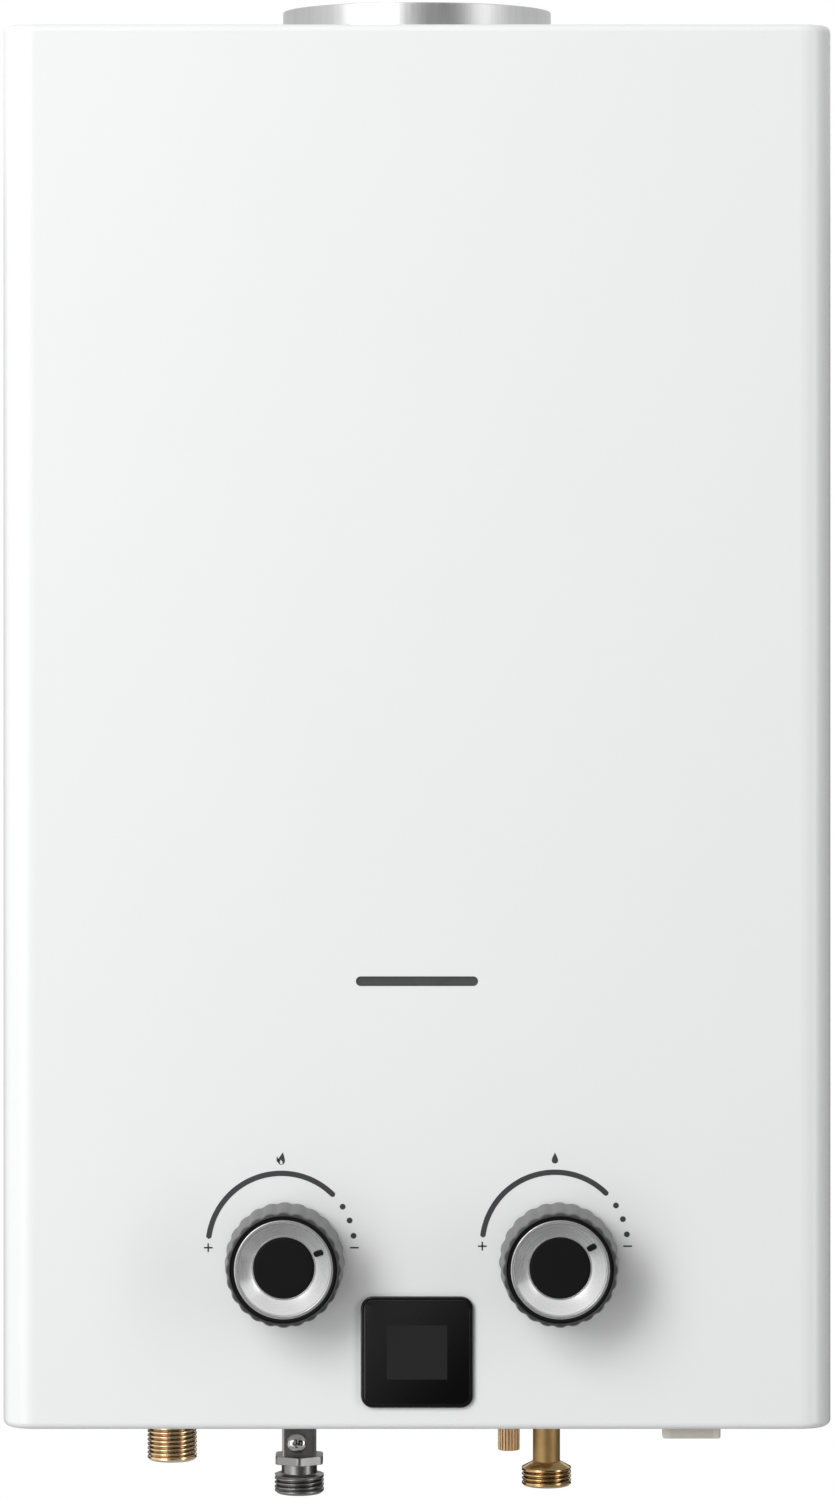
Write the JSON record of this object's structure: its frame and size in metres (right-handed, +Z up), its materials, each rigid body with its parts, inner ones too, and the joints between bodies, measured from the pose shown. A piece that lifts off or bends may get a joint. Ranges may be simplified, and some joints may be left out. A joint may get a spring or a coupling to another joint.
{
  "type": "tankless gas water heater",
  "caption": "Wall-hung tankless gas water heater in a white sheet-metal casing, with a flue collar, control knobs, a display, a viewing slot, battery ignition and threaded connections.",
  "frame": {"origin": "middle of the back plate's rear face, on the wall, half-way up the casing", "axes": "+X to the viewer's right when facing the front, +Y into the wall, +Z up"},
  "size_m": [0.3444, 0.176, 0.6271],
  "materials": {
    "white_paint": "smooth gloss white powder coat",
    "zinc_sheet": "galvanised sheet",
    "steel": "plain zinc-plated steel",
    "flue_metal": "fine vertical brushing",
    "copper": "bright copper",
    "brass": "turned brass",
    "cast_alloy": "die-cast, satin",
    "dark_alloy": "dark grey zinc casting",
    "black_plastic": "moulded black",
    "grip_plastic": "satin grey, darker front face",
    "bright_trim": "satin bright metal",
    "black_gloss": "smoked black window",
    "milky_plastic": "milky beige",
    "pane": "smoked heat-proof pane",
    "ceramic": "unglazed white",
    "rubber": "black rubber",
    "silicone_red": "red silicone lead",
    "cell_wrap": "plain wrapped cell"
  },
  "bodies": {
    "casing": {"back_plate": "zinc_sheet", "front_cover": "white_paint", "top_plate": "white_paint", "bottom_plate": "white_paint", "cover_screws": "steel", "window_pane": "pane", "window_frame": "steel", "flue_collar": "flue_metal", "flue_hood": "zinc_sheet", "combustion_jacket": "copper", "fin_pack": "copper", "exchanger_tube": "copper", "cold_tube": "copper", "hot_tube": "copper", "hot_outlet_fitting": "brass", "support_rails": "steel", "burner_tray": "zinc_sheet", "burner_blades": "steel", "gas_manifold": "cast_alloy", "gas_nozzles": "brass", "electrode_bracket": "steel", "electrode_insulators": "ceramic", "electrode_rods": "steel", "gas_tube": "copper", "gas_valve_body": "cast_alloy", "gas_valve_cap": "cast_alloy", "gas_valve_spring": "steel", "solenoid_coil": "black_plastic", "gas_inlet_fitting": "dark_alloy", "test_point_screw": "steel", "diaphragm_cover": "brass", "diaphragm": "rubber", "water_valve_body": "brass", "valve_screws": "steel", "cold_inlet_fitting": "brass", "microswitch": "black_plastic", "display_housing": "black_gloss", "display_lens": "black_gloss", "display_module": "black_plastic", "battery_case": "milky_plastic", "battery_contacts": "brass", "batteries": "cell_wrap", "igniter_box": "black_plastic", "ignition_lead": "silicone_red", "overheat_switch": "black_plastic"},
    "gas_knob": {"gas_knob_grip": "grip_plastic", "gas_knob_core": "black_plastic", "gas_knob_dish": "bright_trim", "gas_spindle": "brass"},
    "water_knob": {"water_knob_grip": "grip_plastic", "water_knob_core": "black_plastic", "water_knob_dish": "bright_trim", "water_spindle": "brass"},
    "drain_plug": {"drain_plug": "brass"},
    "battery_door": {"battery_door": "milky_plastic", "door_contact": "brass"},
    "push_rod": {"push_rod": "brass", "gas_valve_disc": "rubber"},
    "switch_lever": {"switch_lever": "steel"},
    "solenoid_plunger": {"solenoid_plunger": "steel"}
  },
  "joints": [
    {"name": "gas_knob_turn", "type": "hinge", "parent": "casing", "child": "gas_knob", "pos_m": [-0.054, -0.15, -0.2185], "axis": [0, -1, 0], "range_deg": [-14, 146]},
    {"name": "water_knob_turn", "type": "hinge", "parent": "casing", "child": "water_knob", "pos_m": [0.058, -0.15, -0.2185], "axis": [0, -1, 0], "range_deg": [-24, 136]},
    {"name": "drain_plug_turn", "type": "hinge", "parent": "casing", "child": "drain_plug", "pos_m": [0.039, -0.06, -0.3], "axis": [0, 0, -1], "range_deg": [0, 720]},
    {"name": "battery_door_swing", "type": "hinge", "parent": "casing", "child": "battery_door", "pos_m": [0.113, -0.055, -0.286], "axis": [1, 0, 0], "range_deg": [0, 100]},
    {"name": "push_rod_slide", "type": "slide", "parent": "casing", "child": "push_rod", "axis": [-1, 0, 0], "range_m": [0, 0.005], "stiffness_N_per_m": 600, "springref_m": -0.003, "deforming": ["gas_valve_spring", "diaphragm"]},
    {"name": "switch_lever_swing", "type": "hinge", "parent": "casing", "child": "switch_lever", "pos_m": [-0.0107, -0.075, -0.2045], "axis": [0, 1, 0], "range_deg": [0, 34.2]},
    {"name": "solenoid_plunger_slide", "type": "slide", "parent": "casing", "child": "solenoid_plunger", "axis": [0, 1, 0], "range_m": [0, 0.003], "stiffness_N_per_m": 300, "springref_m": -0.002}
  ],
  "couplings": [
    {"joint": "switch_lever_swing", "follows": "push_rod_slide", "rad_per_m": 118.7}
  ]
}
